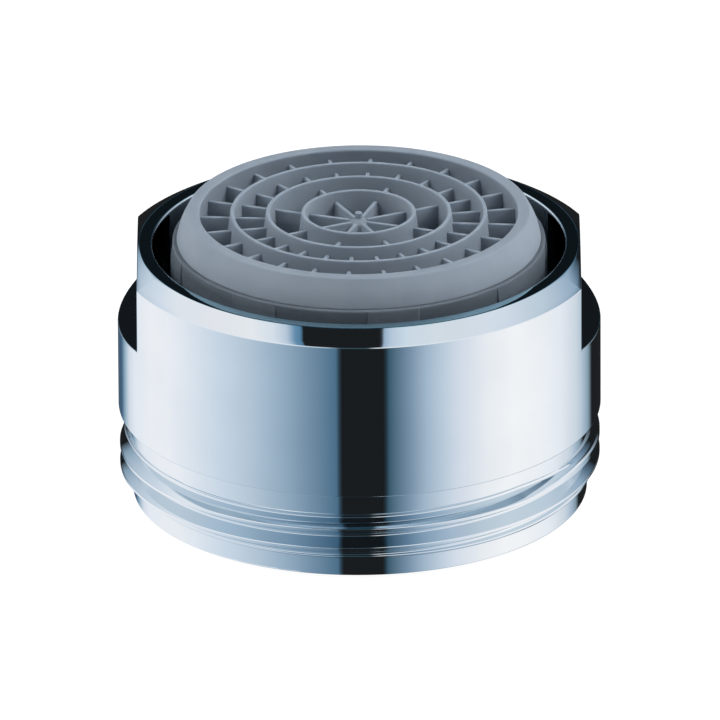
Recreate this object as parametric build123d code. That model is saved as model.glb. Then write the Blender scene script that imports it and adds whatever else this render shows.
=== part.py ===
from build123d import *
import os

# Tap aerator with an M24 x 1 male thread, in millimetres.
# It stands on its sealing washer at z = 0, with the thread end down and the outlet grid up.

# Housing: plain pilot, thread, relief groove, collar and rim
thread_diameter = 23.9
thread_pitch = 1.0
thread_depth_per_pitch = 0.45
thread_length = 3.35
pilot_depth = 0.64
pilot_length = 0.95
end_chamfer_height = 0.45
relief_width = 1.15
relief_wall = 0.8
collar_step = 0.05
housing_length = 13.1
bevel_width = 1.1
bevel_height = 0.6
rim_face = 0.67
flat_depth = 1.0
flat_height = 3.85
seat_width = 0.85
seat_land = 1.2
edge_break = 0.1

# Sealing washer, which stands a little proud of the thread end
washer_thickness = 2.0
washer_proud = 0.3
washer_gap = 0.15
washer_width = 1.9

# Insert casing, hung in the housing by its flange
insert_gap = 0.6
flange_gap = 0.1
flange_thickness = 1.0
casing_length = 11.6
casing_wall = 1.0
inlet_wall = 0.65
inlet_depth = 3.6
chamber_length = 3.4
chamber_step = 0.65
snap_depth = 0.12
snap_width = 0.2
snap_offset = 0.2
air_slot_count = 8
air_slot_width = 3.0
air_slot_height = 1.4
air_slot_offset = 0.3
lug_count = 8
lug_angle = 16.0
lug_proud = 0.1
lug_height = 3.0
lug_slope = 0.7
insert_turn = 10.6

# Clearance between the pieces of the insert
fit_gap = 0.05

# Outlet grid: flared rim, rings, ribs, spokes and hub
flare_height = 1.45
flare_inset = 0.27
flare_bulge = 0.1
rim_width = 0.6
rim_round = 0.16
skirt_wall = 0.31
grid_depth = 2.4
ring_count = 3
inner_ring_radius = 2.74
ring_wall = 0.44
ring_edge = 0.18
rib_wall = 0.34
rib_edge = 0.18
edge_taper = 1.1
rib_drop = 0.49
outer_rib_count = 24
inner_rib_count = 8
hub_radius = 0.85
hub_edge_radius = 0.42
hub_rise = 0.14
nub_radius = 0.18
nub_drop = 0.05

# Mixing grids under the outlet grid
homogenizer_height = 1.1
homogenizer_rim = 0.6
homogenizer_bar = 0.4
homogenizer_thickness = 0.5
homogenizer_bars = 12
homogenizer_rings = 2

# Jet splitter
splitter_thickness = 1.0
splitter_plate = 0.6
splitter_rim = 1.1
jet_diameter = 0.9
jet_edge = 1.2
jet_ring_pitch = 2.0
jet_counts = (20, 12)

# Flow regulator
regulator_height = 2.1
regulator_floor = 0.5
regulator_wall = 0.6
core_radius = 3.9
flute_radius = 0.5
flute_count = 8
flow_gap = 0.55
ring_section = 1.5
port_count = 8
port_angle = 30.0
port_margin = 0.3

# Strainer
strainer_rim_height = 1.0
strainer_rim = 1.0
strainer_dome = 0.9
strainer_slope = 0.9
strainer_wall = 0.5
slot_width = 0.5
slot_pitch = 1.0
slot_rings = 5
slot_first_radius = 1.3
bridge_count = 8
bridge_width = 0.7

# Radii that follow from the thread, from the outside in
thread_radius = thread_diameter / 2
thread_depth = thread_depth_per_pitch * thread_pitch
relief_radius = thread_radius - thread_depth
pilot_radius = thread_radius - pilot_depth
collar_radius = thread_radius + collar_step
rim_radius = collar_radius - bevel_width
bore_radius = rim_radius - rim_face
flat_distance = collar_radius - flat_depth
inlet_bore_radius = relief_radius - relief_wall
seat_radius = inlet_bore_radius - seat_width
flange_radius = inlet_bore_radius - flange_gap
casing_radius = seat_radius - insert_gap
cartridge_radius = casing_radius - inlet_wall
grid_bore_radius = casing_radius - casing_wall
chamber_radius = grid_bore_radius - chamber_step
skirt_radius = grid_bore_radius - fit_gap
rim_inner_radius = skirt_radius - skirt_wall
cartridge_piece_radius = cartridge_radius - fit_gap
washer_radius = inlet_bore_radius - washer_gap

# Heights, upwards from the washer's face
thread_end_z = washer_proud
pilot_z = thread_end_z + pilot_length
relief_z = thread_end_z + thread_length
collar_z = relief_z + relief_width
rim_z = thread_end_z + housing_length
bevel_z = rim_z - bevel_height
ledge_z = rim_z - flat_height
flange_z = washer_thickness
seat_z = flange_z + flange_thickness
casing_top_z = flange_z + casing_length
inlet_shoulder_z = flange_z + inlet_depth
grid_shoulder_z = inlet_shoulder_z + chamber_length
homogenizer_upper_z = grid_shoulder_z + homogenizer_height
skirt_z = homogenizer_upper_z + homogenizer_height
outlet_z = casing_top_z + flare_height
splitter_z = inlet_shoulder_z - splitter_thickness
regulator_z = splitter_z - regulator_height
strainer_z = regulator_z - strainer_rim_height
snap_z = flange_z + snap_offset

BASE = (Align.CENTER, Align.CENTER, Align.MIN)


def turned(*profile):
    """A solid turned about Z from a closed outline of (radius, height) points."""
    outline = Polyline(*[(r, 0, z) for r, z in profile], close=True)
    return revolve(make_face(outline), Axis.Z)


def disc(radius, z, height):
    return Pos(0, 0, z) * Cylinder(radius, height, align=BASE)


def ring(outer, inner, z, height):
    return disc(outer, z, height) - disc(inner, z, height)


def around(count, piece, start=0.0):
    """Copies of a piece, evenly spaced about Z."""
    return [Rot(0, 0, start + 360 / count * i) * piece for i in range(count)]


def bar(inner, outer, width, z, height):
    """A radial bar along X from one radius to another."""
    middle = (inner + outer) / 2
    return Pos(middle, 0, z) * Box(outer - inner, width, height, align=BASE)


def sector(outer, inner, angle, z, height):
    """A part of a ring, centred on X."""
    wedge = CenterArc((0, 0), outer, -angle / 2, angle)
    back = CenterArc((0, 0), inner, -angle / 2, angle)
    sides = [Line(back @ t, wedge @ t) for t in (0, 1)]
    return Pos(0, 0, z) * extrude(make_face([wedge, back, *sides]), height)


def threaded_housing():
    sleeve = turned(
        (inlet_bore_radius + edge_break, thread_end_z),
        (pilot_radius - edge_break, thread_end_z),
        (pilot_radius, thread_end_z + edge_break),
        (pilot_radius, pilot_z),
        (thread_radius, pilot_z + end_chamfer_height),
        (thread_radius, relief_z - thread_depth / 2),
        (relief_radius, relief_z),
        (relief_radius, collar_z),
        (collar_radius - edge_break, collar_z),
        (collar_radius, collar_z + edge_break),
        (collar_radius, bevel_z),
        (rim_radius, rim_z),
        (bore_radius + edge_break, rim_z),
        (bore_radius, rim_z - edge_break),
        (bore_radius, seat_z + seat_land + (bore_radius - seat_radius)),
        (seat_radius, seat_z + seat_land),
        (seat_radius, seat_z),
        (inlet_bore_radius, seat_z),
        (inlet_bore_radius, thread_end_z + edge_break),
    )
    flat = Pos(flat_distance, 0, ledge_z) * Box(
        collar_radius, 2 * collar_radius, 2 * flat_height, align=(Align.MIN, Align.CENTER, Align.MIN)
    )
    return sleeve - around(2, flat)


def sealing_washer():
    return ring(washer_radius, washer_radius - washer_width, 0, washer_thickness)


def insert_casing():
    jacket = turned(
        (cartridge_radius, flange_z),
        (flange_radius - edge_break, flange_z),
        (flange_radius, flange_z + edge_break),
        (flange_radius, seat_z),
        (casing_radius, seat_z),
        (casing_radius, casing_top_z - edge_break),
        (casing_radius - edge_break, casing_top_z),
        (grid_bore_radius, casing_top_z),
        (grid_bore_radius, grid_shoulder_z),
        (chamber_radius, grid_shoulder_z),
        (chamber_radius, inlet_shoulder_z),
        (cartridge_radius, inlet_shoulder_z),
        (cartridge_radius, snap_z + snap_width / 2 + snap_depth),
        (cartridge_radius + snap_depth, snap_z + snap_width / 2),
        (cartridge_radius + snap_depth, snap_z - snap_width / 2),
        (cartridge_radius, snap_z - snap_width / 2),
    )
    slot_z = inlet_shoulder_z + air_slot_offset
    slot_reach = (chamber_radius - casing_wall, casing_radius + casing_wall)
    slot = bar(*slot_reach, air_slot_width, slot_z, air_slot_height)
    lug_z = casing_top_z - lug_height
    lug_radius = casing_radius + lug_proud
    lug_band = turned(
        (casing_radius - casing_wall / 2, lug_z),
        (lug_radius, lug_z),
        (lug_radius, casing_top_z - lug_slope),
        (casing_radius, casing_top_z - edge_break),
        (casing_radius - casing_wall / 2, casing_top_z - edge_break),
    )
    lug = lug_band & sector(lug_radius + lug_proud, grid_bore_radius, lug_angle, lug_z, lug_height)
    half_pitch = 180 / air_slot_count
    slotted = jacket - around(air_slot_count, slot, insert_turn + half_pitch)
    return slotted + around(lug_count, lug, insert_turn)


def flared_rim():
    """The outlet grid's rim, with its skirt in the casing and its flare on the casing's edge."""
    flare_foot = (casing_radius - flare_inset, casing_top_z)
    flare_head = (rim_inner_radius + rim_width, outlet_z - rim_round)
    mouth = (rim_inner_radius + rim_round, outlet_z)
    shoulder = (flare_head[0] - rim_round, outlet_z)
    flare_middle = (
        (flare_foot[0] + flare_head[0]) / 2 + flare_bulge,
        (flare_foot[1] + flare_head[1]) / 2,
    )
    path = [
        Line((rim_inner_radius, skirt_z), (skirt_radius, skirt_z)),
        Line((skirt_radius, skirt_z), (skirt_radius, casing_top_z)),
        Line((skirt_radius, casing_top_z), flare_foot),
        ThreePointArc(flare_foot, flare_middle, flare_head),
        RadiusArc(flare_head, shoulder, -rim_round),
        Line(shoulder, mouth),
        RadiusArc(mouth, (rim_inner_radius, outlet_z - rim_round), -rim_round),
        Line((rim_inner_radius, outlet_z - rim_round), (rim_inner_radius, skirt_z)),
    ]
    return revolve(Plane.XZ * make_face(path), Axis.Z)


def tapered_ring(radius):
    """An upright ring that thins towards the outlet and ends in a half-round edge."""
    half = ring_wall / 2
    edge = ring_edge / 2
    foot_z = outlet_z - grid_depth
    taper_z = outlet_z - edge_taper
    crest_z = outlet_z - edge
    path = [
        Line((radius - half, foot_z), (radius + half, foot_z)),
        Line((radius + half, foot_z), (radius + half, taper_z)),
        Line((radius + half, taper_z), (radius + edge, crest_z)),
        ThreePointArc((radius + edge, crest_z), (radius, outlet_z), (radius - edge, crest_z)),
        Line((radius - edge, crest_z), (radius - half, taper_z)),
        Line((radius - half, taper_z), (radius - half, foot_z)),
    ]
    return revolve(Plane.XZ * make_face(path), Axis.Z)


def tapered_rib(inner, outer):
    """A radial rib along X that thins towards the outlet, lower than the rings."""
    half = rib_wall / 2
    edge = rib_edge / 2
    foot_z = outlet_z - grid_depth
    rib_z = outlet_z - rib_drop
    taper_z = outlet_z - edge_taper
    section = Polyline(
        (-half, foot_z),
        (half, foot_z),
        (half, taper_z),
        (edge, rib_z),
        (-edge, rib_z),
        (-half, taper_z),
        close=True,
    )
    return Pos(inner, 0, 0) * extrude(Plane.YZ * make_face(section), outer - inner)


def grid_hub():
    """The hub where the spokes meet, with a small nub on it."""
    foot_z = outlet_z - grid_depth
    rib_z = outlet_z - rib_drop
    return turned(
        (0, foot_z),
        (hub_radius, foot_z),
        (hub_radius, outlet_z - edge_taper),
        (hub_edge_radius, rib_z),
        (nub_radius, rib_z + hub_rise),
        (nub_radius, outlet_z - nub_drop),
        (0, outlet_z - nub_drop),
    )


def outlet_grid():
    rim_middle = rim_inner_radius + skirt_wall / 2
    pitch = (rim_middle - inner_ring_radius) / ring_count
    radii = [inner_ring_radius + pitch * i for i in range(ring_count)]
    rings = [tapered_ring(radius) for radius in radii]
    # The inner ribs and the spokes stand on the second of the outer ribs' angles
    inner_turn = insert_turn + 360 / outer_rib_count
    spokes = around(inner_rib_count, tapered_rib(0, radii[0]), inner_turn)
    inner = around(inner_rib_count, tapered_rib(radii[0], radii[1]), inner_turn)
    middle = around(outer_rib_count, tapered_rib(radii[1], radii[2]), insert_turn)
    outer = around(outer_rib_count, tapered_rib(radii[2], rim_middle), insert_turn)
    return flared_rim() + rings + spokes + inner + middle + outer + grid_hub()


def homogenizer(z, turn):
    """A mixing grid: a rim that spaces it from the next one, with thin rings and bars across."""
    radius = skirt_radius
    rim = ring(radius, radius - homogenizer_rim, z, homogenizer_height)
    pitch = (radius - homogenizer_rim) / (homogenizer_rings + 1)
    half = homogenizer_bar / 2
    rings = [
        ring(pitch * i + half, pitch * i - half, z, homogenizer_thickness)
        for i in range(1, homogenizer_rings + 1)
    ]
    spoke = bar(pitch, radius - homogenizer_rim / 2, homogenizer_bar, z, homogenizer_thickness)
    return rim + rings + around(homogenizer_bars, spoke, turn)


def homogenizer_lower():
    return homogenizer(grid_shoulder_z, insert_turn)


def homogenizer_upper():
    return homogenizer(homogenizer_upper_z, insert_turn + 180 / homogenizer_bars)


def jet_splitter():
    radius = cartridge_piece_radius
    recess_radius = radius - splitter_rim
    plate = disc(radius, splitter_z, splitter_thickness)
    plate -= disc(recess_radius, splitter_z, splitter_thickness - splitter_plate)
    for i, count in enumerate(jet_counts):
        jet_radius = recess_radius - jet_edge - jet_ring_pitch * i
        jet = Pos(jet_radius, 0, 0) * disc(jet_diameter / 2, splitter_z, splitter_thickness)
        plate -= around(count, jet)
    return plate


def regulator_body():
    radius = cartridge_piece_radius
    channel_radius = core_radius + flow_gap + ring_section + fit_gap
    floor_z = splitter_z - regulator_floor
    depth = floor_z - regulator_z
    body = disc(radius, regulator_z, regulator_height)
    body -= ring(channel_radius, core_radius, regulator_z, depth)
    body -= ring(radius - regulator_wall, channel_radius + regulator_wall, regulator_z, depth)
    flute = Pos(core_radius, 0, 0) * disc(flute_radius, regulator_z, depth)
    port_reach = (channel_radius - port_margin, core_radius + port_margin)
    port = sector(*port_reach, port_angle, floor_z, regulator_floor)
    half_pitch = 180 / port_count
    return body - around(flute_count, flute) - around(port_count, port, half_pitch)


def regulator_o_ring():
    section = ring_section / 2
    middle_radius = core_radius + flow_gap + section
    floor_z = splitter_z - regulator_floor
    return Pos(0, 0, floor_z - section - fit_gap) * Torus(middle_radius, section)


def strainer():
    radius = cartridge_piece_radius
    rim_inner = radius - strainer_rim
    plate_radius = rim_inner - strainer_slope
    plate_z = strainer_z - strainer_dome
    hat = turned(
        (0, plate_z),
        (plate_radius, plate_z),
        (rim_inner, strainer_z),
        (radius, strainer_z),
        (radius, snap_z - snap_width / 2),
        (radius + snap_depth, snap_z - snap_width / 2),
        (radius + snap_depth, snap_z + snap_width / 2),
        (radius, snap_z + snap_width / 2 + snap_depth),
        (radius, regulator_z),
        (rim_inner, regulator_z),
        (rim_inner, strainer_z + strainer_wall),
        (plate_radius, plate_z + strainer_wall),
        (0, plate_z + strainer_wall),
    )
    bridges = around(bridge_count, bar(0, rim_inner, bridge_width, plate_z, strainer_wall))
    for i in range(slot_rings):
        middle = slot_first_radius + slot_pitch * i
        slot = ring(middle + slot_width / 2, middle - slot_width / 2, plate_z, strainer_wall)
        hat -= slot - bridges
    return hat


SUB_PARTS = (
    threaded_housing,
    sealing_washer,
    insert_casing,
    outlet_grid,
    homogenizer_upper,
    homogenizer_lower,
    jet_splitter,
    regulator_body,
    regulator_o_ring,
    strainer,
)

os.makedirs("parts", exist_ok=True)
for sub_part in SUB_PARTS:
    export_step(sub_part(), f"parts/{sub_part.__name__}.step")
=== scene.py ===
import math

import bmesh
import bpy
import numpy as np
from mathutils import Matrix, Vector


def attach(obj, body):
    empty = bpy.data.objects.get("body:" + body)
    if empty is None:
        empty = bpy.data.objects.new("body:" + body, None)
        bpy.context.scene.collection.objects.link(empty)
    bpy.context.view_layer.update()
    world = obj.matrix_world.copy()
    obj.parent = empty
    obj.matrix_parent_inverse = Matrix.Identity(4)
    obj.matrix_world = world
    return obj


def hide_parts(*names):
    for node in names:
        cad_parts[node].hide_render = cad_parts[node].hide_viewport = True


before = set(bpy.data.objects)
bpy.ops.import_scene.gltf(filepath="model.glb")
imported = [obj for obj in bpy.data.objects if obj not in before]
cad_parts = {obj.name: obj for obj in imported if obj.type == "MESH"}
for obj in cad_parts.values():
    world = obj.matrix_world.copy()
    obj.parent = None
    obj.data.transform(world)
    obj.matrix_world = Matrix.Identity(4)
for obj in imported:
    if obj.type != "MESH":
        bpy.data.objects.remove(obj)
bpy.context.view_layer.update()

# Sizes are in millimetres here and turned into metres when a mesh is made
MM = 0.001
FULL_TURN = 2 * math.pi
FRONT_ANGLE = 270

# Fineness of the meshes
TURN_STEPS = 360
RING_STEPS = 240
HUB_STEPS = 96
ARC_STEPS = 4
FLARE_ARC_STEPS = 6
FILLET_SHARE = 0.45
TINY = 1e-6
MERGE_DISTANCE = 5e-5
SHARP_ANGLE = 32

# Housing
THREAD_R = 11.95
NECK_R = 11.55
PILOT_R = 11.31
COLLAR_R = 12.0
RIM_R = 10.9
BORE_R = 10.23
INLET_R = 10.7
SEAT_R = 9.85
FLAT_X = 11.0
END_Z = 0.3
PILOT_Z = 1.25
CHAMFER_Z = 1.7
THREAD_TOP_Z = 4.0
COLLAR_Z = 4.8
LEDGE_Z = 9.55
BEVEL_Z = 12.8
RIM_Z = 13.4
SEAT_Z = 3.0
SEAT_TOP_Z = 4.2
LEDGE_SLOPE = 0.22
BEVEL_CROWN = 0.02
INNER_ROUND = 0.1
END_ROUND = 0.06
COLLAR_ROUND = 0.08
EDGE_ROUND = 0.05
RIM_ROUND = 0.2
BORE_ROUND = 0.16
EDGE_ROWS = 0.15
FLAT_EDGE_TURNS = (-0.005, 0, 0.005)
FLAT_EDGE_CLEAR = 0.004

# Thread, whose last turn runs out between two angles right of the front
PITCH = 1.0
THREAD_DEPTH = 0.64
THREAD_HALF_ANGLE = 30
CREST_WIDTH = 0.125
CREST_Z_FRONT = 2.98
RUN_OUT = (44, 76)
SHOULDER_Z = 3.69
SHOULDER_SLOPE = 1.73
CREST_ROUND = 0.02
ROOT_ROUND = 0.03
PILOT_ROUND = 0.06
THREAD_TURNS = range(-3, 3)
CREST_ROWS = (0, 0.03, 0.05, 0.06, 0.07, 0.09, 0.15, 0.23, 0.31, 0.37, 0.40, 0.42, 0.44, 0.47)
CORNER_ROWS = (-0.03, -0.005, 0.005, 0.03)

# Outlet grid
OUTLET_Z = 15.05
CASING_TOP_Z = 13.6
SKIRT_Z = 11.2
GRID_FOOT_Z = 12.65
RIB_TOP_Z = 14.56
TAPER_Z = 13.95
FLARE_FOOT_R = 9.05
FLARE_BULGE = 0.1
FLARE_FOOT_ROUND = 0.05
FLARE_CURVE = 4.0
LIP_OUTER_ROUND = 0.14
LIP_INNER_ROUND = 0.12
SKIRT_R = 8.2
RIM_INNER_R = 7.89
RIM_WIDTH = 0.6
RING_R = (2.74, 4.5083, 6.2767)
RING_WALL = 0.44
RING_EDGE = 0.18
RING_TAPER_ROUND = 2.0
RING_TOP_ROUND = 0.07
RIB_WALL = 0.34
RIB_EDGE = 0.18
RIB_TAPER_ROUND = 1.0
RIB_TOP_ROUND = 0.055
RIB_LIFT = 0.02
RIB_COUNT = 24
RIB_IN_RIM = 0.15
SPOKE_COUNT = 8
SPOKE_START_R = 0.46
HUB_R = 0.85
HUB_TOP_R = 0.42
HUB_TOP_DROP = 0.03
HUB_ROUND = 0.5
NUB_R = 0.18
NUB_FOOT_RISE = 0.13
NUB_DROP = 0.05
NUB_FOOT_ROUND = 0.08
NUB_TOP_ROUND = 0.05
INSERT_TURN = 10.6
MOULD_LINE_TURN = 281.9
MOULD_LINE_HEIGHT = 0.02
MOULD_LINE_WIDTH = 0.5

# Insert casing
CASING_R = 9.25
FLANGE_R = 10.6
CARTRIDGE_R = 8.6
GRID_BORE_R = 8.25
CHAMBER_R = 7.6
FLANGE_Z = 2.0
INLET_SHOULDER_Z = 5.6
GRID_SHOULDER_Z = 9.0
SNAP_Z = 2.2
SNAP_DEPTH = 0.12
SNAP_HALF = 0.1
LUG_COUNT = 8
LUG_PITCH = 360 / LUG_COUNT
LUG_ANGLE = 16.0
LUG_PROUD = 0.1
LUG_Z = 10.6
LUG_SLOPE = 0.7
LUG_EDGE = 0.06
LUG_FOOT_SLOPE = 0.05
LUG_FOOT_ROUND = 0.02
LUG_ROUND = 0.5
LUG_EDGE_SHARES = np.linspace(-0.6, 0.6, 9)
LUG_EDGE_CLEAR = 0.002
FLANGE_ROUND = 0.08
CASING_ROUND = 0.04
CASING_TOP_ROUND = 0.1
CHAMBER_ROUND = 0.03
SLOT_WIDTH = 3.0
SLOT_Z = (5.9, 7.3)
SLOT_PAST_INSIDE = 1.0
SLOT_PAST_OUTSIDE = 0.5

# View of the camera, whose distance and clips are in metres
VIEW_TILT = math.radians(23.331)
VIEW_FROM = (0, -math.cos(VIEW_TILT), math.sin(VIEW_TILT))
VIEW_ROLL = math.radians(-0.3)
VIEW_DISTANCE = 1.10984
VIEW_LENS = 1116.1
VIEW_SENSOR = 36
VIEW_CLIPS = (0.1, 10)
VIEW_CENTRE_Z = 7.652
VIEW_ASIDE = 0.029
VIEW_DROP = 0.5895


# Outlines and meshes
def soft_min(a, b, k):
    h = np.clip(0.5 + 0.5 * (b - a) / k, 0, 1)
    return b * (1 - h) + a * h - k * h * (1 - h)


def soft_max(a, b, k):
    return -soft_min(-a, -b, k)


def rounded(corners, steps=ARC_STEPS):
    """Turn each (r, z, fillet) corner of a closed outline into steps + 1 points of a small arc."""
    points = np.array([c[:2] for c in corners], float)
    arcs = []
    for i, (_, _, fillet) in enumerate(corners):
        p = points[i]
        back, ahead = points[i - 1] - p, points[(i + 1) % len(points)] - p
        back_length, ahead_length = np.hypot(*back), np.hypot(*ahead)
        if fillet == 0 or min(back_length, ahead_length) < TINY:
            arcs.append([p] * (steps + 1))
            continue
        back, ahead = back / back_length, ahead / ahead_length
        angle = math.acos(np.clip(back @ ahead, -1, 1))
        longest = FILLET_SHARE * min(back_length, ahead_length)
        reach = min(fillet / math.tan(angle / 2), longest)
        shares = np.linspace(0, 1, steps + 1)
        arcs.append([p + reach * (back * (1 - t) ** 2 + ahead * t**2) for t in shares])
    return arcs


def turns_with(fine, spacing):
    """A full turn in even steps, with fine angles that the even ones keep away from."""
    even = np.linspace(0, FULL_TURN, TURN_STEPS + 1)
    keep = [a for a in even if min(abs(a - f) for f in fine) > spacing]
    return np.array(sorted(keep + [f for f in fine if 0 < f < FULL_TURN]))


def make_object(name, verts, faces):
    mesh = bpy.data.meshes.new(name)
    mesh.from_pydata([tuple(v) for v in verts], [], [tuple(f) for f in faces])
    work = bmesh.new()
    work.from_mesh(mesh)
    bmesh.ops.remove_doubles(work, verts=work.verts, dist=MERGE_DISTANCE * MM)
    bmesh.ops.dissolve_degenerate(work, edges=work.edges, dist=TINY * MM)
    bmesh.ops.recalc_face_normals(work, faces=work.faces)
    work.to_mesh(mesh)
    work.free()
    mesh.polygons.foreach_set("use_smooth", [True] * len(mesh.polygons))
    obj = bpy.data.objects.new(name, mesh)
    bpy.context.scene.collection.objects.link(obj)
    return obj


def polar_object(name, angles, outlines):
    """A closed body from one (r, z) outline per angle, with the last a full turn after the first."""
    columns, rows = outlines.shape[0], outlines.shape[1]
    r, z = outlines[:, :, 0], outlines[:, :, 1]
    x, y = r * np.cos(angles)[:, None], r * np.sin(angles)[:, None]
    verts = np.stack([x, y, z], axis=-1).reshape(-1, 3) * MM
    faces = []
    for j in range(columns - 1):
        for i in range(rows):
            n = (i + 1) % rows
            faces.append((j * rows + i, (j + 1) * rows + i, (j + 1) * rows + n, j * rows + n))
    return make_object(name, verts, faces)


def turned_object(name, corners, columns):
    outline = np.concatenate(rounded(corners))
    turns = np.linspace(0, FULL_TURN, columns + 1)
    return polar_object(name, turns, np.array([outline] * (columns + 1)))


def box_object(name, low, high, turn):
    spin = Matrix.Rotation(math.radians(turn), 3, "Z")
    corners = [(x, y, z) for x in (low[0], high[0]) for y in (low[1], high[1]) for z in (low[2], high[2])]
    faces = [(0, 1, 3, 2), (4, 6, 7, 5), (0, 4, 5, 1), (2, 3, 7, 6), (0, 2, 6, 4), (1, 5, 7, 3)]
    return make_object(name, [spin @ Vector(c) * MM for c in corners], faces)


def combined(name, body, pieces, operation):
    """One closed body, with pieces joined to it or cut out of it."""
    for piece in pieces:
        mod = body.modifiers.new("cut", "BOOLEAN")
        mod.operation = operation
        mod.solver = "MANIFOLD"
        mod.object = piece
    mesh = bpy.data.meshes.new_from_object(body.evaluated_get(bpy.context.evaluated_depsgraph_get()))
    for piece in [body, *pieces]:
        bpy.data.objects.remove(piece)
    obj = bpy.data.objects.new(name, mesh)
    bpy.context.scene.collection.objects.link(obj)
    mesh.polygons.foreach_set("use_smooth", [True] * len(mesh.polygons))
    mesh.set_sharp_from_angle(angle=math.radians(SHARP_ANGLE))
    return obj


def weighted_normals(obj):
    mod = obj.modifiers.new("normals", "WEIGHTED_NORMAL")
    mod.mode = "FACE_AREA"
    mod.weight = 50
    mod.keep_sharp = True


# Housing, with the thread as a true helix
def thread_radius(u, lift):
    """Radius at a height u from the middle of a crest, where the tool is lifted out by a share."""
    flank = THREAD_R - (np.abs(u) - CREST_WIDTH / 2) / math.tan(math.radians(THREAD_HALF_ANGLE))
    groove = soft_max(flank, THREAD_R - THREAD_DEPTH, ROOT_ROUND)
    return soft_min(groove + lift * THREAD_DEPTH, THREAD_R, CREST_ROUND)


def thread_heights(crest_z, low_z, high_z):
    """Heights of the outline's points, close together at crests, at roots and at the thread's ends."""
    half = np.array(CREST_ROWS)
    steps = np.concatenate([-half[:0:-1], half, [0.5]])
    ends = [corner + step for corner in (PILOT_Z, CHAMFER_Z, SHOULDER_Z) for step in CORNER_ROWS]
    z = np.concatenate([crest_z + PITCH * k + steps for k in THREAD_TURNS] + [ends])
    return np.sort(np.clip(z, low_z, high_z))


def thread_rows(angle, low_z, high_z):
    crest_z = CREST_Z_FRONT + PITCH * (angle / FULL_TURN - FRONT_ANGLE / 360)
    z = thread_heights(crest_z, low_z, high_z)
    turns = np.round((z - crest_z) / PITCH)
    u = z - crest_z - PITCH * turns
    # Degrees along the groove, counted from the front of the uppermost turn
    along = math.degrees(angle) - FRONT_ANGLE + 360 * np.where(u < 0, turns - 1, turns)
    lift = np.clip((along - RUN_OUT[0]) / (RUN_OUT[1] - RUN_OUT[0]), 0, 1)
    shoulder = np.maximum(NECK_R + SHOULDER_SLOPE * (SHOULDER_Z - z), NECK_R)
    chamfer = PILOT_R + (z - PILOT_Z) * (THREAD_R - PILOT_R) / (CHAMFER_Z - PILOT_Z)
    r = soft_min(thread_radius(u, lift), shoulder, CREST_ROUND)
    r = soft_min(r, soft_max(chamfer, PILOT_R, PILOT_ROUND), CREST_ROUND)
    return np.stack([r, z], axis=-1)


def bevel_point(side_r, edge_z, crown, t):
    """A corner part of the way up the bevel, which is slightly crowned."""
    rise = 4 * crown * t * (1 - t)
    slope = math.atan2(RIM_Z - BEVEL_Z, COLLAR_R - RIM_R)
    r = side_r + (RIM_R - side_r) * t + rise * math.sin(slope)
    return r, edge_z + (RIM_Z - edge_z) * t + rise * math.cos(slope), 0


def housing_outline(angle):
    flat_r = FLAT_X / max(abs(math.cos(angle)), TINY)
    side_r = min(COLLAR_R, flat_r)
    edge_z = RIM_Z - (side_r - RIM_R) * (RIM_Z - BEVEL_Z) / (COLLAR_R - RIM_R)
    ledge_z = LEDGE_Z - LEDGE_SLOPE * (COLLAR_R - side_r)
    crown = BEVEL_CROWN * ((side_r - RIM_R) / (COLLAR_R - RIM_R)) ** 2
    corners = [
        (INLET_R, END_Z, INNER_ROUND),
        (PILOT_R, END_Z, END_ROUND),
        (PILOT_R, PILOT_Z, 0),
        (NECK_R, THREAD_TOP_Z, 0),
        (NECK_R, COLLAR_Z, COLLAR_ROUND),
        (COLLAR_R, COLLAR_Z, COLLAR_ROUND),
        (COLLAR_R, ledge_z - EDGE_ROWS, 0),
        (COLLAR_R, ledge_z, EDGE_ROUND),
        (side_r, LEDGE_Z, EDGE_ROUND),
        (side_r, LEDGE_Z + EDGE_ROWS, 0),
        (side_r, edge_z - EDGE_ROWS, 0),
        (side_r, edge_z, COLLAR_ROUND),
        *[bevel_point(side_r, edge_z, crown, t) for t in (0.25, 0.5, 0.75)],
        (RIM_R, RIM_Z, RIM_ROUND),
        (BORE_R, RIM_Z, BORE_ROUND),
        (BORE_R, SEAT_TOP_Z + BORE_R - SEAT_R, INNER_ROUND),
        (SEAT_R, SEAT_TOP_Z, EDGE_ROUND),
        (SEAT_R, SEAT_Z, EDGE_ROUND),
        (INLET_R, SEAT_Z, EDGE_ROUND),
    ]
    arcs = rounded(corners)
    # The thread takes the place of the two corners at its ends
    rows = thread_rows(angle, arcs[1][-1][1], THREAD_TOP_Z)
    return np.concatenate([arcs[0], arcs[1], rows, *arcs[4:]])


def make_housing():
    half = math.acos(FLAT_X / COLLAR_R)
    flat_edges = [base + side * half for base in (0, math.pi, FULL_TURN) for side in (-1, 1)]
    fine = [edge + step for edge in flat_edges for step in FLAT_EDGE_TURNS]
    angles = turns_with(fine, FLAT_EDGE_CLEAR)
    return polar_object("housing_body", angles, np.array([housing_outline(a) for a in angles]))


housing = make_housing()
weighted_normals(housing)


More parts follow.
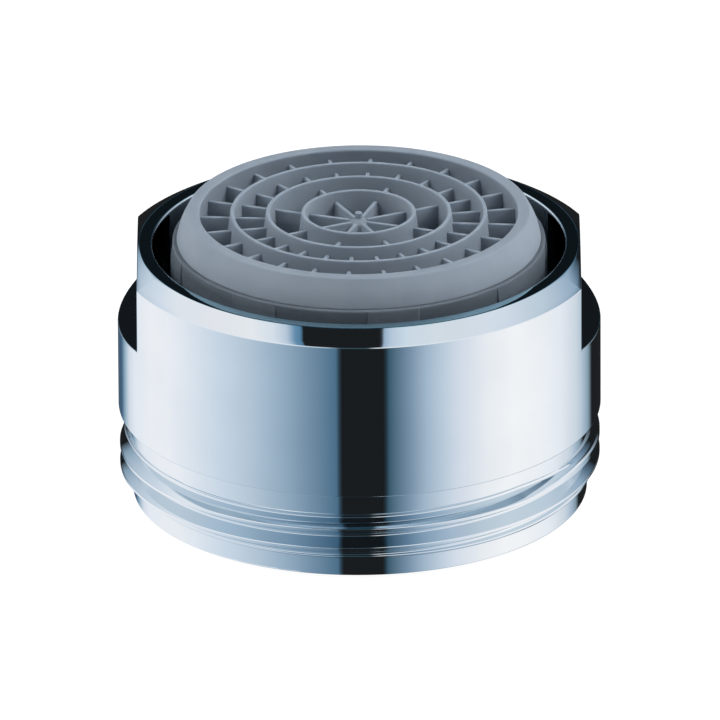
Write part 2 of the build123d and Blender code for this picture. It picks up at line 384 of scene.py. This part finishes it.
# Outlet grid: flare, rings, ribs and hub, joined into one body
def flare_corners(turn):
    """The flare's outline, with a fine mould line at one place."""
    ridge = MOULD_LINE_HEIGHT * math.exp(-((math.degrees(turn) - MOULD_LINE_TURN) / MOULD_LINE_WIDTH) ** 2)
    head_r = RIM_INNER_R + RIM_WIDTH
    middle = ((FLARE_FOOT_R + head_r) / 2 + FLARE_BULGE + ridge, (CASING_TOP_Z + OUTLET_Z) / 2)
    return [
        (RIM_INNER_R, SKIRT_Z, 0),
        (SKIRT_R, SKIRT_Z, 0),
        (SKIRT_R, CASING_TOP_Z, 0),
        (FLARE_FOOT_R + ridge, CASING_TOP_Z, FLARE_FOOT_ROUND),
        (*middle, FLARE_CURVE),
        (head_r, OUTLET_Z, LIP_OUTER_ROUND),
        (RIM_INNER_R, OUTLET_Z, LIP_INNER_ROUND),
    ]


def make_flare():
    turns = np.linspace(0, FULL_TURN, TURN_STEPS + 1)
    outlines = [np.concatenate(rounded(flare_corners(turn), FLARE_ARC_STEPS)) for turn in turns]
    return polar_object("flare", turns, np.array(outlines))


def make_ring(radius):
    half, edge = RING_WALL / 2, RING_EDGE / 2
    corners = [
        (radius - half, GRID_FOOT_Z, 0),
        (radius + half, GRID_FOOT_Z, 0),
        (radius + half, TAPER_Z, RING_TAPER_ROUND),
        (radius + edge, OUTLET_Z, RING_TOP_ROUND),
        (radius - edge, OUTLET_Z, RING_TOP_ROUND),
        (radius - half, TAPER_Z, RING_TAPER_ROUND),
    ]
    return turned_object("ring", corners, RING_STEPS)


def make_rib(inner, outer, turn):
    half, edge = RIB_WALL / 2, RIB_EDGE / 2
    foot_z = GRID_FOOT_Z + RIB_LIFT
    corners = [
        (-half, foot_z, 0),
        (half, foot_z, 0),
        (half, TAPER_Z, RIB_TAPER_ROUND),
        (edge, RIB_TOP_Z, RIB_TOP_ROUND),
        (-edge, RIB_TOP_Z, RIB_TOP_ROUND),
        (-half, TAPER_Z, RIB_TAPER_ROUND),
    ]
    section = np.concatenate(rounded(corners))
    count = len(section)
    ends = [[(x, y, z) for y, z in section] for x in (inner, outer)]
    spin = Matrix.Rotation(math.radians(turn), 3, "Z")
    verts = [spin @ Vector(p) * MM for end in ends for p in end]
    sides = [(i, (i + 1) % count, count + (i + 1) % count, count + i) for i in range(count)]
    caps = [range(count), range(2 * count - 1, count - 1, -1)]
    return make_object("rib", verts, [*sides, *caps])


def make_hub():
    nub_z = OUTLET_Z - NUB_DROP
    corners = [
        (0, GRID_FOOT_Z, 0),
        (HUB_R, GRID_FOOT_Z, 0),
        (HUB_R, TAPER_Z, HUB_ROUND),
        (HUB_TOP_R, RIB_TOP_Z - HUB_TOP_DROP, HUB_ROUND),
        (NUB_R, RIB_TOP_Z + NUB_FOOT_RISE, NUB_FOOT_ROUND),
        (NUB_R, nub_z, NUB_TOP_ROUND),
        (0, nub_z, 0),
    ]
    return turned_object("hub", corners, HUB_STEPS)


def make_grid():
    spoke_turn = INSERT_TURN + 360 / RIB_COUNT
    pieces = [make_flare(), *[make_ring(radius) for radius in RING_R], make_hub()]
    for i in range(SPOKE_COUNT):
        turn = spoke_turn + 360 / SPOKE_COUNT * i
        pieces.append(make_rib(SPOKE_START_R, RING_R[0], turn))
        pieces.append(make_rib(RING_R[0], RING_R[1], turn))
    for i in range(RIB_COUNT):
        turn = INSERT_TURN + 360 / RIB_COUNT * i
        pieces.append(make_rib(RING_R[1], RING_R[2], turn))
        pieces.append(make_rib(RING_R[2], RIM_INNER_R + RIB_IN_RIM, turn))
    return combined("jet_grid", pieces[0], pieces[1:], "UNION")


grid = make_grid()
weighted_normals(grid)


# Insert casing, with low lugs around its top and air slots further down
def smooth(value):
    value = min(max(value, 0.0), 1.0)
    return value * value * (3 - 2 * value)


def lug_height(turn):
    aside = abs((math.degrees(turn) - INSERT_TURN + LUG_PITCH / 2) % LUG_PITCH - LUG_PITCH / 2)
    inside = math.radians(LUG_ANGLE / 2 - aside) * CASING_R
    return LUG_PROUD * smooth(0.5 + inside / LUG_EDGE)


def casing_outline(turn):
    lug_r = CASING_R + lug_height(turn)
    groove_r = CARTRIDGE_R + SNAP_DEPTH
    corners = [
        (CARTRIDGE_R, FLANGE_Z, 0),
        (FLANGE_R, FLANGE_Z, FLANGE_ROUND),
        (FLANGE_R, SEAT_Z, CASING_ROUND),
        (CASING_R, SEAT_Z, EDGE_ROUND),
        (CASING_R, LUG_Z - LUG_FOOT_SLOPE, 0),
        (lug_r, LUG_Z, LUG_FOOT_ROUND),
        (lug_r, CASING_TOP_Z - LUG_SLOPE, LUG_ROUND),
        (CASING_R, CASING_TOP_Z, CASING_TOP_ROUND),
        (GRID_BORE_R, CASING_TOP_Z, CASING_ROUND),
        (GRID_BORE_R, GRID_SHOULDER_Z, 0),
        (CHAMBER_R, GRID_SHOULDER_Z, CHAMBER_ROUND),
        (CHAMBER_R, INLET_SHOULDER_Z, CHAMBER_ROUND),
        (CARTRIDGE_R, INLET_SHOULDER_Z, 0),
        (CARTRIDGE_R, SNAP_Z + SNAP_HALF + SNAP_DEPTH, 0),
        (groove_r, SNAP_Z + SNAP_HALF, 0),
        (groove_r, SNAP_Z - SNAP_HALF, 0),
        (CARTRIDGE_R, SNAP_Z - SNAP_HALF, 0),
    ]
    return np.concatenate(rounded(corners))


def casing_turns():
    middles = [INSERT_TURN + LUG_PITCH * i for i in range(LUG_COUNT)]
    edges = [math.radians(middle + side * LUG_ANGLE / 2) for middle in middles for side in (-1, 1)]
    fine = [edge + share * LUG_EDGE / CASING_R for edge in edges for share in LUG_EDGE_SHARES]
    return turns_with(fine, LUG_EDGE_CLEAR)


def make_casing():
    angles = casing_turns()
    jacket = polar_object("jacket", angles, np.array([casing_outline(a) for a in angles]))
    half = SLOT_WIDTH / 2
    low = (CHAMBER_R - SLOT_PAST_INSIDE, -half, SLOT_Z[0])
    high = (CASING_R + SLOT_PAST_OUTSIDE, half, SLOT_Z[1])
    turns = [INSERT_TURN + LUG_PITCH * (i + 0.5) for i in range(LUG_COUNT)]
    slots = [box_object("slot", low, high, turn) for turn in turns]
    return combined("casing_jacket", jacket, slots, "DIFFERENCE")


casing = make_casing()
weighted_normals(casing)


# Shader nodes
def math_node(nodes, links, operation, *values):
    node = nodes.new("ShaderNodeMath")
    node.operation = operation
    for socket, value in zip(node.inputs, values):
        if isinstance(value, (int, float)):
            socket.default_value = value
        else:
            links.new(value, socket)
    return node.outputs[0]


def vector_node(nodes, links, operation, a, b=None):
    node = nodes.new("ShaderNodeVectorMath")
    node.operation = operation
    links.new(a, node.inputs[0])
    if b is not None:
        node.inputs[1].default_value = b
    return node.outputs["Value" if operation == "DOT_PRODUCT" else "Vector"]


def split(nodes, links, vector):
    node = nodes.new("ShaderNodeSeparateXYZ")
    links.new(vector, node.inputs[0])
    return node.outputs


def smooth_step(nodes, links, value, low, high):
    node = nodes.new("ShaderNodeMapRange")
    node.interpolation_type = "SMOOTHSTEP"
    node.inputs["From Min"].default_value = low
    node.inputs["From Max"].default_value = high
    links.new(value, node.inputs["Value"])
    return node.outputs["Result"]


def mix_colour(nodes, links, factor, a, b):
    node = nodes.new("ShaderNodeMix")
    node.data_type = "RGBA"
    links.new(factor, node.inputs["Factor"])
    for name, value in (("A", a), ("B", b)):
        if isinstance(value, tuple):
            node.inputs[name].default_value = (*value, 1)
        else:
            links.new(value, node.inputs[name])
    return node.outputs["Result"]


def noise(nodes, links, scale, detail=4.0):
    coord = nodes.new("ShaderNodeTexCoord")
    tex = nodes.new("ShaderNodeTexNoise")
    tex.inputs["Scale"].default_value = scale
    tex.inputs["Detail"].default_value = detail
    links.new(coord.outputs["Object"], tex.inputs["Vector"])
    return tex.outputs["Fac"]


def ramp(nodes, links, fac, stops):
    node = nodes.new("ShaderNodeValToRGB")
    items = node.color_ramp.elements
    for i, (at, colour) in enumerate(stops):
        item = items[i] if i < 2 else items.new(at)
        item.position = at
        item.color = (*colour, 1)
    links.new(fac, node.inputs["Fac"])
    return node.outputs["Color"]


# Materials
MOTTLE_RANGE = (0.3, 0.7)
PLATE_SHADES = ((0.585, 0.685, 0.755), (0.615, 0.715, 0.785))
# Painted dark reflection: a darker, bluer plate colour on the rim's flat face, faded in just below its top
RIM_FACE_PAINTED_REFLECTION = (0.36, 0.58, 0.67)
RIM_FACE_PAINTED_REFLECTION_FADE = (0.03, 0.01)
PLATE_MOTTLE = 300
POLISH_MOTTLE = 900
POLISH = (0.012, 0.03)
GREY_SHADES = ((0.285, 0.33, 0.38), (0.315, 0.36, 0.41))
# The casing's grey: the grid's grey at about half its brightness, partly its own darker tone and partly
# painted shade for the gap under the rim
DARK_GREY_AND_PAINTED_SHADE = ((0.145, 0.17, 0.195), (0.16, 0.186, 0.212))
WHITE_SHADES = ((0.70, 0.70, 0.67), (0.78, 0.78, 0.75))
RUBBER_SHADES = ((0.018, 0.018, 0.019), (0.03, 0.03, 0.032))
PLASTIC_SHINE = 0.2
PLASTIC_SHINE_TINT = (0.7, 0.85, 1.0, 1)
PLASTIC_DEPTH = 0.3
PLASTIC_DEPTH_TINT = (0.9, 1.0, 1.1)
PLASTIC_MOTTLE = 500
ROUGHNESS_MOTTLE = 1500
ROUGHNESS_SPREAD = 0.06
GRAIN_SCALE = 9000
GRAIN_DETAIL = 2.0
GRAIN_HEIGHT = 0.02


def new_material(name):
    mat = bpy.data.materials.new(name)
    mat.use_nodes = True
    nodes = mat.node_tree.nodes
    return mat, nodes, mat.node_tree.links, nodes["Principled BSDF"]


def mottle(nodes, links, scale, shades):
    return ramp(nodes, links, noise(nodes, links, scale), zip(MOTTLE_RANGE, shades))


def vary_roughness(nodes, links, bsdf, scale, low, high):
    node = nodes.new("ShaderNodeMapRange")
    links.new(noise(nodes, links, scale), node.inputs["Value"])
    node.inputs["To Min"].default_value = low
    node.inputs["To Max"].default_value = high
    links.new(node.outputs["Result"], bsdf.inputs["Roughness"])


def chrome_material():
    """Polished plate, with a painted dark reflection on the rim's flat face, where the plate is a little
    darker and bluer.
    """
    mat, nodes, links, bsdf = new_material("chrome_plate")
    bsdf.inputs["Metallic"].default_value = 1.0
    plate = mottle(nodes, links, PLATE_MOTTLE, PLATE_SHADES)
    height = split(nodes, links, nodes.new("ShaderNodeTexCoord").outputs["Object"])[2]
    # Painted dark reflection: the plate turns darker and bluer on the rim's flat face
    fade = [(RIM_Z - below) * MM for below in RIM_FACE_PAINTED_REFLECTION_FADE]
    painted_reflection_on_face = smooth_step(nodes, links, height, *fade)
    links.new(mix_colour(nodes, links, painted_reflection_on_face, plate, RIM_FACE_PAINTED_REFLECTION), bsdf.inputs["Base Color"])
    vary_roughness(nodes, links, bsdf, POLISH_MOTTLE, *POLISH)
    return mat


def moulded_material(name, shades, roughness, grain, depth_share=0.0):
    """Moulded plastic or rubber, with a fine grain and, in a share, light that passes under its skin."""
    mat, nodes, links, bsdf = new_material(name)
    bsdf.inputs["Specular IOR Level"].default_value = PLASTIC_SHINE
    bsdf.inputs["Specular Tint"].default_value = PLASTIC_SHINE_TINT
    bsdf.inputs["Subsurface Weight"].default_value = depth_share
    bsdf.inputs["Subsurface Radius"].default_value = PLASTIC_DEPTH_TINT
    bsdf.inputs["Subsurface Scale"].default_value = PLASTIC_DEPTH * MM
    links.new(mottle(nodes, links, PLASTIC_MOTTLE, shades), bsdf.inputs["Base Color"])
    low, high = roughness - ROUGHNESS_SPREAD, roughness + ROUGHNESS_SPREAD
    vary_roughness(nodes, links, bsdf, ROUGHNESS_MOTTLE, low, high)
    bump = nodes.new("ShaderNodeBump")
    bump.inputs["Strength"].default_value = grain
    bump.inputs["Distance"].default_value = GRAIN_HEIGHT * MM
    links.new(noise(nodes, links, GRAIN_SCALE, GRAIN_DETAIL), bump.inputs["Height"])
    links.new(bump.outputs["Normal"], bsdf.inputs["Normal"])
    return mat


chrome = chrome_material()
grey = moulded_material("grey_moulding", GREY_SHADES, roughness=0.48, grain=0.15, depth_share=0.6)
# The casing's grey is partly its own darker tone and partly painted shade for the gap under the rim
dark_grey_and_painted_shade = moulded_material(
    "dark_grey_and_painted_shade_moulding", DARK_GREY_AND_PAINTED_SHADE, roughness=0.48, grain=0.15, depth_share=0.6
)
white = moulded_material("white_moulding", WHITE_SHADES, roughness=0.45, grain=0.1)
rubber = moulded_material("black_rubber", RUBBER_SHADES, roughness=0.7, grain=0.3)


def dress(obj, mat):
    obj.data.materials.clear()
    obj.data.materials.append(mat)


def add_piece(obj, node, mat):
    dress(obj, mat)
    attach(obj, "root")
    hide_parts(node)


add_piece(housing, "threaded_housing", chrome)
add_piece(grid, "outlet_grid", grey)
add_piece(casing, "insert_casing", dark_grey_and_painted_shade)
for node in ("homogenizer_upper", "homogenizer_lower"):
    dress(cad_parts[node], grey)
for node in ("jet_splitter", "regulator_body", "strainer"):
    dress(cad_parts[node], white)
for node in ("sealing_washer", "regulator_o_ring"):
    dress(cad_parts[node], rubber)


# World: soft lamps for matt surfaces, light and dark walls in the chrome, and white for the camera
BLACK = (0.010, 0.012, 0.014)
DUSK = (0.05, 0.13, 0.21)
PLATE = tuple((dark + light) / 2 for dark, light in zip(*PLATE_SHADES))

# Lamps on the left, right, front and back, in two bands of height that fade in and out
SOFT_TINT = (0.97, 1.0, 1.04)
OVERHEAD_LAMP = 0.05
OVERHEAD_FADE = (0.75, 0.95)
SIDES = ((-1, 0, 0), (1, 0, 0), (0, -1, 0), (0, 1, 0))
LOBE_POWER = 4.0
SIDE_LAMPS = (
    ((0.4, 0.6), (0.95, 0.75), (4.4, 6.1, 0.15, 0.3)),
    ((-0.2, -0.1), (0.25, 0.1), (2.8, 2.9, 0.0, 0.0)),
)

# Where the walls change, by how far up the mirror that shows them faces
MID_FADE = (0.15, 0.35)
HIGH_FADE = (0.66, 0.80)
UNDER_FADE = (-0.12, -0.35)
DUSK_FADE = (0.938, 0.955)
BLACK_FADE = (0.958, 0.968)
SIDE_REACH = 0.25
HIGH_LEAN = 1.67
BEVEL_FACING = 0.876

# Colours of the walls, by the turn of the mirror that shows them
LOW_WALLS = [
    (-90, (0.05, 0.08, 0.1)), (-80, (0.04, 0.09, 0.17)), (-78, (0.1, 0.2, 0.3)),
    (-75, (0.3, 0.44, 0.55)), (-72, (0.57, 0.65, 0.75)), (-68, (0.70, 0.77, 0.85)),
    (-60, (0.79, 0.83, 0.88)), (-52, (0.79, 0.83, 0.88)), (-44, (0.69, 0.76, 0.84)),
    (-36, (0.57, 0.67, 0.78)), (-28, (0.46, 0.57, 0.68)), (-20, (0.31, 0.43, 0.55)),
    (-12, (0.165, 0.27, 0.38)), (-5.2, (0.065, 0.15, 0.24)), (-4.8, BLACK),
    (6.2, BLACK), (6.6, (0.03, 0.085, 0.13)), (12, (0.18, 0.28, 0.39)),
    (16, (0.345, 0.46, 0.58)), (20, (0.48, 0.59, 0.70)), (24, (0.63, 0.70, 0.80)),
    (32, (0.79, 0.83, 0.87)), (40, (0.86, 0.885, 0.915)), (48, (0.83, 0.865, 0.9)),
    (56, (0.75, 0.80, 0.87)), (64, (0.54, 0.63, 0.71)), (68, (0.34, 0.46, 0.58)),
    (71, (0.2, 0.3, 0.38)), (73.5, BLACK), (90, BLACK),
]
MID_WALLS = [
    (-90, BLACK), (-80, (0.3, 0.4, 0.5)), (-70, (0.72, 0.78, 0.85)), (-16, (0.74, 0.80, 0.87)),
    (-8, (0.45, 0.56, 0.66)), (-4.8, (0.04, 0.09, 0.12)), (2, (0.04, 0.09, 0.12)),
    (4, (0.7, 0.78, 0.84)), (8, (0.74, 0.80, 0.87)), (66, (0.72, 0.78, 0.85)),
    (74, (0.3, 0.4, 0.5)), (84, BLACK), (90, BLACK),
]
UNDER_WALLS = [
    (-90, BLACK), (-70, (0.5, 0.59, 0.68)), (-36, (0.5, 0.59, 0.68)), (-18, (0.22, 0.32, 0.42)),
    (-6, (0.06, 0.12, 0.18)), (-4.8, BLACK), (6, BLACK), (8, (0.1, 0.16, 0.22)),
    (16, (0.24, 0.33, 0.42)), (28, (0.4, 0.49, 0.58)), (38, (0.4, 0.49, 0.58)),
    (48, (0.16, 0.23, 0.31)), (66, (0.16, 0.23, 0.31)), (80, BLACK), (90, BLACK),
]
HIGH_WALLS = [
    (-90, BLACK), (-84, (0.22, 0.33, 0.44)), (-76, (0.38, 0.49, 0.6)), (-68, (0.51, 0.61, 0.71)),
    (-60, (0.60, 0.69, 0.79)), (-52, (0.71, 0.77, 0.83)), (-40, (0.75, 0.78, 0.83)),
    (-28, (0.76, 0.80, 0.84)), (-22, (0.66, 0.74, 0.82)), (-18.5, (0.48, 0.58, 0.70)),
    (-16.3, (0.13, 0.27, 0.42)), (-14.5, (0.08, 0.2, 0.33)), (-14.1, BLACK),
    (5.6, BLACK), (6, (0.3, 0.42, 0.56)), (8, (0.46, 0.58, 0.71)),
    (12, (0.58, 0.69, 0.78)), (20, (0.64, 0.71, 0.77)), (36, (0.63, 0.71, 0.80)),
    (44, (0.56, 0.64, 0.74)), (52, (0.49, 0.60, 0.69)), (60, (0.38, 0.49, 0.61)),
    (68, (0.26, 0.38, 0.5)), (74, (0.1, 0.17, 0.25)), (80, BLACK), (90, BLACK),
]


def through_plate(colour):
    """The wall's own colour, which the plate tints to the given one."""
    return tuple(c / p for c, p in zip(colour, PLATE))


def walls_ramp(nodes, links, turn, stops):
    place = math_node(nodes, links, "MULTIPLY_ADD", turn, 1 / math.pi, 0.5)
    return ramp(nodes, links, place, [(a / 180 + 0.5, through_plate(colour)) for a, colour in stops])


def mirror_facing(nodes, links, direction):
    """The facing of a mirror that shows a direction to someone in front of and above the object."""
    halfway = vector_node(nodes, links, "ADD", direction, VIEW_FROM)
    return split(nodes, links, vector_node(nodes, links, "NORMALIZE", halfway))


def mirror_walls(nodes, links, direction):
    """What polished surfaces show: walls at several heights, and a dark space overhead."""
    x, y, z = mirror_facing(nodes, links, direction)
    turn = math_node(nodes, links, "ARCTAN2", x, math_node(nodes, links, "MULTIPLY", y, -1.0))
    # The upper walls lean a little, so that their edges stand upright in the crowned bevel
    lean = math_node(nodes, links, "MULTIPLY_ADD", z, -HIGH_LEAN, 1 + HIGH_LEAN * BEVEL_FACING)
    high_turn = math_node(nodes, links, "MULTIPLY", turn, lean)
    # The dark space overhead reaches further down at both sides
    aside = math_node(nodes, links, "MULTIPLY", x, x)
    over = math_node(nodes, links, "MULTIPLY_ADD", aside, SIDE_REACH, z)
    walls = walls_ramp(nodes, links, turn, LOW_WALLS)
    layers = (
        (z, MID_FADE, walls_ramp(nodes, links, turn, MID_WALLS)),
        (z, HIGH_FADE, walls_ramp(nodes, links, high_turn, HIGH_WALLS)),
        (z, UNDER_FADE, walls_ramp(nodes, links, turn, UNDER_WALLS)),
        (over, DUSK_FADE, through_plate(DUSK)),
        (over, BLACK_FADE, BLACK),
    )
    for height, fade, layer in layers:
        walls = mix_colour(nodes, links, smooth_step(nodes, links, height, *fade), walls, layer)
    return walls


def soft_light(nodes, links, direction):
    """What lights matt surfaces: a faint lamp overhead, and lamps on four sides at two heights."""
    flat = vector_node(nodes, links, "MULTIPLY", direction, (1, 1, 0))
    flat = vector_node(nodes, links, "NORMALIZE", flat)
    z = split(nodes, links, direction)[2]
    overhead = smooth_step(nodes, links, z, *OVERHEAD_FADE)
    light = math_node(nodes, links, "MULTIPLY", overhead, OVERHEAD_LAMP)
    for rise, fall, strengths in SIDE_LAMPS:
        band = smooth_step(nodes, links, z, *rise)
        band = math_node(nodes, links, "MULTIPLY", band, smooth_step(nodes, links, z, *fall))
        for side, strength in zip(SIDES, strengths):
            toward = vector_node(nodes, links, "DOT_PRODUCT", flat, side)
            toward = math_node(nodes, links, "MAXIMUM", toward, 0.0)
            lobe = math_node(nodes, links, "POWER", toward, LOBE_POWER)
            lamp = math_node(nodes, links, "MULTIPLY", lobe, band)
            lamp = math_node(nodes, links, "MULTIPLY", lamp, strength)
            light = math_node(nodes, links, "ADD", light, lamp)
    tint = nodes.new("ShaderNodeVectorMath")
    tint.operation = "SCALE"
    tint.inputs[0].default_value = SOFT_TINT
    links.new(light, tint.inputs["Scale"])
    return tint.outputs[0]


def make_world():
    world = bpy.data.worlds.new("studio")
    world.use_nodes = True
    bpy.context.scene.world = world
    nodes, links = world.node_tree.nodes, world.node_tree.links
    nodes.clear()
    direction = nodes.new("ShaderNodeTexCoord").outputs["Generated"]
    matt = soft_light(nodes, links, direction)
    polished = mirror_walls(nodes, links, direction)
    path = nodes.new("ShaderNodeLightPath")
    lit = mix_colour(nodes, links, path.outputs["Is Glossy Ray"], matt, polished)
    seen = mix_colour(nodes, links, path.outputs["Is Camera Ray"], lit, (1.0, 1.0, 1.0))
    background = nodes.new("ShaderNodeBackground")
    links.new(seen, background.inputs["Color"])
    out = nodes.new("ShaderNodeOutputWorld")
    links.new(background.outputs[0], out.inputs["Surface"])


make_world()

# Floor, which glows a little so that it stays white around the shadow
FLOOR_SIZE = 4000
FLOOR_DROP = 0.01
FLOOR_GREY = 0.8
FLOOR_GLOW = 1.2
FLOOR_GLOW_SHARE = 0.8


def make_floor():
    bpy.ops.mesh.primitive_plane_add(size=FLOOR_SIZE * MM, location=(0, 0, -FLOOR_DROP * MM))
    floor = bpy.context.object
    floor.name = "floor"
    mat, nodes, links, bsdf = new_material("pale_floor")
    bsdf.inputs["Base Color"].default_value = (FLOOR_GREY, FLOOR_GREY, FLOOR_GREY, 1)
    bsdf.inputs["Roughness"].default_value = 1.0
    bsdf.inputs["Specular IOR Level"].default_value = 0.0
    glow = nodes.new("ShaderNodeEmission")
    glow.inputs["Color"].default_value = (1, 1, 1, 1)
    glow.inputs["Strength"].default_value = FLOOR_GLOW
    mix = nodes.new("ShaderNodeMixShader")
    mix.inputs["Fac"].default_value = FLOOR_GLOW_SHARE
    links.new(bsdf.outputs[0], mix.inputs[1])
    links.new(glow.outputs[0], mix.inputs[2])
    links.new(mix.outputs[0], nodes["Material Output"].inputs["Surface"])
    floor.data.materials.append(mat)
    floor.visible_glossy = False


make_floor()


# Camera
def make_camera():
    target = Vector((0, 0, VIEW_CENTRE_Z * MM))
    back = Vector(VIEW_FROM)
    data = bpy.data.cameras.new("camera")
    data.sensor_width = VIEW_SENSOR
    data.lens = VIEW_LENS
    data.clip_start, data.clip_end = VIEW_CLIPS
    cam = bpy.data.objects.new("camera", data)
    turn = (-back).to_track_quat("-Z", "Y").to_matrix()
    right, up = turn.col[0], turn.col[1]
    place = target + back * VIEW_DISTANCE + right * VIEW_ASIDE * MM - up * VIEW_DROP * MM
    rolled = turn @ Matrix.Rotation(VIEW_ROLL, 3, "Z")
    cam.matrix_world = Matrix.Translation(place) @ rolled.to_4x4()
    bpy.context.scene.collection.objects.link(cam)
    bpy.context.scene.camera = cam


make_camera()
bpy.context.scene.view_settings.view_transform = "Standard"
